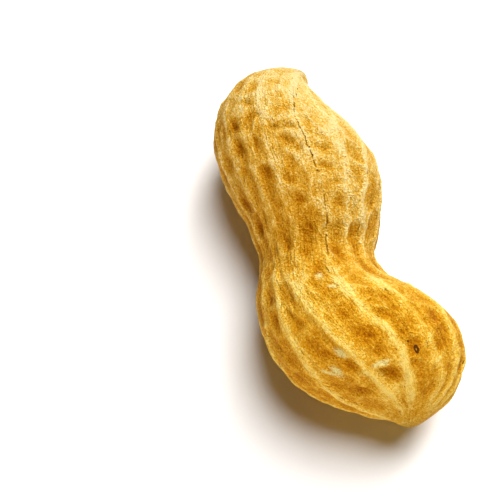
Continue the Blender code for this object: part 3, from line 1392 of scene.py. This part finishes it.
@dataclass
class Peanut:
    """The whole pod, as one closed surface over the frame's `pod` node."""

    form: PodForm = field(default_factory=PodForm)
    finish: ShellFinish = field(default_factory=ShellFinish)
    columns: int = 320
    rings: int = 308

    def build(self) -> bpy.types.Object:
        """Build the shell's mesh.

        Formula: a grid of stations from stalk to beak by angles round the pod, closed by one
        point at each end; every point is the plain pod's, moved along the plain normal by the
        relief, and never below the table.

        Returns:
            The shell object, linked to the scene.
        """
        relief = PodRelief(self.form)
        stations = np.arange(1, self.rings) / self.rings
        angles = -math.pi / 2.0 + TURN * np.arange(self.columns) / self.columns
        grid_station, grid_angle = np.meshgrid(stations, angles, indexing="ij")
        station = np.concatenate([[0.0], grid_station.ravel(), [1.0]])
        angle = np.concatenate([[0.0], grid_angle.ravel(), [0.0]])
        plain = self.form.skin(station, angle)
        normal = self.normals(station, angle)
        fields = relief.fields(station, angle, plain)
        points = plain + normal * fields[Field.RELIEF][:, None]
        points[:, 2] = np.maximum(points[:, 2], 0.0)
        faces, uv = self.weave()

        mesh = bpy.data.meshes.new("peanut_shell")
        mesh.from_pydata((points * MM).tolist(), [], faces)
        mesh.polygons.foreach_set("use_smooth", np.ones(len(faces), dtype=bool))
        layer = mesh.uv_layers.new(name="OFBake")
        layer.data.foreach_set("uv", uv.ravel())
        for name, array in fields.items():
            mesh.attributes.new(name.value, "FLOAT", "POINT").data.foreach_set("value", array)
        straight = self.form.straight(station, angle)
        store = mesh.attributes.new(Field.STRAIGHT.value, "FLOAT_VECTOR", "POINT")
        store.data.foreach_set("vector", straight.ravel())
        mesh.validate()
        shell = bpy.data.objects.new("peanut_shell", mesh)
        bpy.context.scene.collection.objects.link(shell)
        return shell

    def normals(self, station: np.ndarray, angle: np.ndarray) -> np.ndarray:
        """Give the plain pod's outward normals.

        Formula: the cross product of a short step round the pod and one along it. Each end takes
        the mean of the ring beside it.

        Args:
            station: (n) stations, the two ends included.
            angle: (n) angles in radians.

        Returns:
            (n, 3) unit normals.
        """
        step = 1e-4
        inside = np.clip(station, 0.004, 0.996)
        ahead = self.form.skin(inside + step, angle) - self.form.skin(inside - step, angle)
        round_ = self.form.skin(inside, angle + step) - self.form.skin(inside, angle - step)
        cross = np.cross(round_, ahead)
        normal = cross / np.linalg.norm(cross, axis=-1, keepdims=True)
        for index, near in ((0, slice(1, 1 + self.columns)), (-1, slice(-1 - self.columns, -1))):
            mean = normal[near].mean(axis=0)
            normal[index] = mean / np.linalg.norm(mean)
        return normal

    def weave(self) -> tuple[list[list[int]], np.ndarray]:
        """Join the grid's points into faces, with u round the pod and v from stalk to beak.

        Returns:
            Faces as lists of point numbers, and (loops, 2) texture places in the same order.
        """
        rows = self.rings - 2
        ring, column = np.meshgrid(np.arange(rows), np.arange(self.columns), indexing="ij")
        ring, column = ring.ravel(), column.ravel()
        beside = (column + 1) % self.columns
        top, low = 1 + ring * self.columns, 1 + (ring + 1) * self.columns
        quads = np.stack([top + column, low + column, low + beside, top + beside], axis=-1)
        u0, u1 = column / self.columns, (column + 1) / self.columns
        v0, v1 = (ring + 1) / self.rings, (ring + 2) / self.rings
        quad_uv = np.stack([u0, v0, u0, v1, u1, v1, u1, v0], axis=-1).reshape(-1, 2)
        c = np.arange(self.columns)
        after = (c + 1) % self.columns
        end = 1 + (self.rings - 1) * self.columns
        last = 1 + rows * self.columns
        stalk = np.stack([np.zeros_like(c), 1 + c, 1 + after], axis=-1)
        beak = np.stack([np.full_like(c, end), last + after, last + c], axis=-1)
        u0, u1, zero = c / self.columns, (c + 1) / self.columns, np.zeros(self.columns)
        v0 = zero + 1.0 / self.rings
        stalk_uv = np.stack([(u0 + u1) / 2.0, zero, u0, v0, u1, v0], axis=-1).reshape(-1, 2)
        beak_uv = np.stack([(u0 + u1) / 2.0, zero + 1.0, u1, 1.0 - v0, u0, 1.0 - v0], axis=-1)
        faces = quads.tolist() + stalk.tolist() + beak.tolist()
        return faces, np.concatenate([quad_uv, stalk_uv, beak_uv.reshape(-1, 2)])

    def dress(self, shell: bpy.types.Object) -> None:
        """Give the shell its material and tie it to the frame.

        Args:
            shell: What `build` made.
        """
        shell.data.materials.append(self.finish.material())
        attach(shell, "root")
        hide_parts("pod")


# ---------------------------------------------------------------- floor, light and camera


@dataclass(frozen=True)
class Lamp:
    """A square lamp. The way to it is in shares of the camera's right, up and back directions."""

    name: str
    way: tuple[float, float, float]
    distance: float
    side: float
    power: float
    colour: Colour = (1.0, 1.0, 1.0)
    shell_only: bool = False


WARM_CARD: Colour = (1.0, 0.84, 0.58)
RIM = Lamp("rim", (0.45, 1.0, 0.25), distance=0.45, side=0.20, power=1.3)
BOUNCE = Lamp("bounce", (-0.26, -1.00, 0.52), 0.60, 0.20, 3.0, WARM_CARD, shell_only=True)
FILL = Lamp("fill", (-0.5, 0.1, 0.9), 0.60, 0.50, 0.54, WARM_CARD, shell_only=True)


@dataclass(frozen=True)
class Studio:
    """A white floor, a broad distant key, a rim lamp, two warm cards and the camera.

    The cards light only the shell, so the shadow on the floor stays deep. Sizes are in metres.
    """

    azimuth: float = -19.0
    elevation: float = 68.0
    distance: float = 0.145
    lens: float = 100.0
    aim: tuple[float, float, float] = (-0.0076, 0.0021, 0.0073)
    floor_side: float = 16.0
    floor_colour: Colour = (0.93, 0.925, 0.915)
    floor_roughness: float = 0.9
    world_light: float = 0.078
    world_colour: Colour = (1.0, 0.80, 0.58)
    backdrop: Colour = (1.0, 1.0, 1.0)
    key_way: tuple[float, float, float] = (0.30, 0.90, 1.00)
    key_strength: float = 4.2
    key_spread: float = 40.0
    lamps: tuple[Lamp, ...] = (RIM, BOUNCE, FILL)
    lit_height: float = 0.006

    def axes(self) -> tuple[Vector, Vector, Vector]:
        """Give the camera's right, up and back directions in the world."""
        turn, tip = math.radians(self.azimuth), math.radians(self.elevation)
        back = Vector((math.sin(turn) * math.cos(tip), -math.cos(turn) * math.cos(tip), math.sin(tip)))
        right = Vector((math.cos(turn), math.sin(turn), 0.0))
        return right, back.cross(right), back

    def toward(self, way: tuple[float, float, float]) -> Vector:
        """Turn shares of the camera's right, up and back into a unit vector in the world."""
        right, up, back = self.axes()
        return (right * way[0] + up * way[1] + back * way[2]).normalized()

    def floor(self) -> None:
        """Build the floor: a flat square centred under the pod."""
        half = self.floor_side / 2.0
        mesh = bpy.data.meshes.new("studio_floor")
        corners = [(-half, -half, 0.0), (half, -half, 0.0), (half, half, 0.0), (-half, half, 0.0)]
        mesh.from_pydata(corners, [], [(0, 1, 2, 3)])
        floor = bpy.data.objects.new("studio_floor", mesh)
        material = bpy.data.materials.new("studio_floor")
        material.use_nodes = True
        shader = material.node_tree.nodes["Principled BSDF"]
        shader.inputs["Base Color"].default_value = (*self.floor_colour, 1.0)
        shader.inputs["Roughness"].default_value = self.floor_roughness
        shader.inputs["Specular IOR Level"].default_value = 0.1
        mesh.materials.append(material)
        bpy.context.scene.collection.objects.link(floor)

    def hang(self, light: bpy.types.Light, place: Vector, way: Vector) -> bpy.types.Object:
        """Put a light in the scene.

        Args:
            light: The light.
            place: Where it hangs.
            way: Unit vector towards it, against which it shines.

        Returns:
            The lamp.
        """
        lamp = bpy.data.objects.new(light.name, light)
        lamp.location = place
        lamp.rotation_euler = (-way).to_track_quat("-Z", "Y").to_euler()
        bpy.context.scene.collection.objects.link(lamp)
        return lamp

    def key(self) -> None:
        """Hang the key: a broad, very distant panel, so the floor is lit evenly to its far edge."""
        light = bpy.data.lights.new("key", "SUN")
        light.energy = self.key_strength
        light.angle = math.radians(self.key_spread)
        way = self.toward(self.key_way)
        self.hang(light, way, way)

    def near_lamps(self, shell: bpy.types.Object) -> None:
        """Hang the rim lamp and the two cards.

        Args:
            shell: The only thing that the cards light.
        """
        lit = bpy.data.collections.new("lit_by_cards")
        lit.objects.link(shell)
        for plan in self.lamps:
            light = bpy.data.lights.new(plan.name, "AREA")
            light.shape = "SQUARE"
            light.size = plan.side
            light.energy = plan.power
            light.color = plan.colour
            way = self.toward(plan.way)
            lamp = self.hang(light, Vector((0.0, 0.0, self.lit_height)) + way * plan.distance, way)
            if plan.shell_only:
                lamp.light_linking.receiver_collection = lit

    def world(self) -> None:
        """Light everything faintly and warmly, behind a backdrop that the camera sees as white."""
        world = bpy.data.worlds.new("studio")
        world.use_nodes = True
        graph = Graph(world.node_tree)
        glow = world.node_tree.nodes["Background"]
        glow.inputs["Color"].default_value = (*self.world_colour, 1.0)
        glow.inputs["Strength"].default_value = self.world_light
        seen = graph.add("ShaderNodeBackground", Color=self.backdrop, Strength=1.0)
        share = graph.add("ShaderNodeLightPath").outputs["Is Camera Ray"]
        pair = {"in1": glow.outputs["Background"], "in2": seen.outputs["Background"]}
        both = graph.add("ShaderNodeMixShader", in0=share, **pair)
        graph.put(world.node_tree.nodes["World Output"].inputs["Surface"], both.outputs["Shader"])
        bpy.context.scene.world = world

    def camera(self) -> None:
        """Set up the camera: it looks down on the pod from over its beak end."""
        right, up, back = self.axes()
        data = bpy.data.cameras.new("camera")
        data.lens = self.lens
        data.sensor_width = 36.0
        data.clip_start = 0.005
        data.clip_end = 20.0
        camera = bpy.data.objects.new("camera", data)
        basis = Matrix((right, up, back)).transposed().to_4x4()
        camera.matrix_world = Matrix.Translation(Vector(self.aim) + back * self.distance) @ basis
        bpy.context.scene.collection.objects.link(camera)
        bpy.context.scene.camera = camera

    def build(self, shell: bpy.types.Object) -> None:
        """Set the whole studio and a plain view transform.

        Args:
            shell: What the two cards light.
        """
        self.floor()
        self.key()
        self.near_lamps(shell)
        self.world()
        self.camera()
        bpy.context.scene.view_settings.view_transform = "Standard"


def report(piece: bpy.types.Object) -> None:
    """Log a piece's size in millimetres and its number of faces.

    Args:
        piece: The finished object.
    """
    size = ", ".join(f"{side / MM:.1f}" for side in piece.dimensions)
    LOG.info("%s: %s mm, %d faces", piece.name, size, len(piece.data.polygons))


def main() -> None:
    """Build the peanut and its studio."""
    logging.basicConfig(level=logging.INFO, format="%(name)s: %(message)s")
    peanut = Peanut()
    shell = peanut.build()
    peanut.dress(shell)
    report(shell)
    Studio().build(shell)


if __name__ == "__main__":
    main()
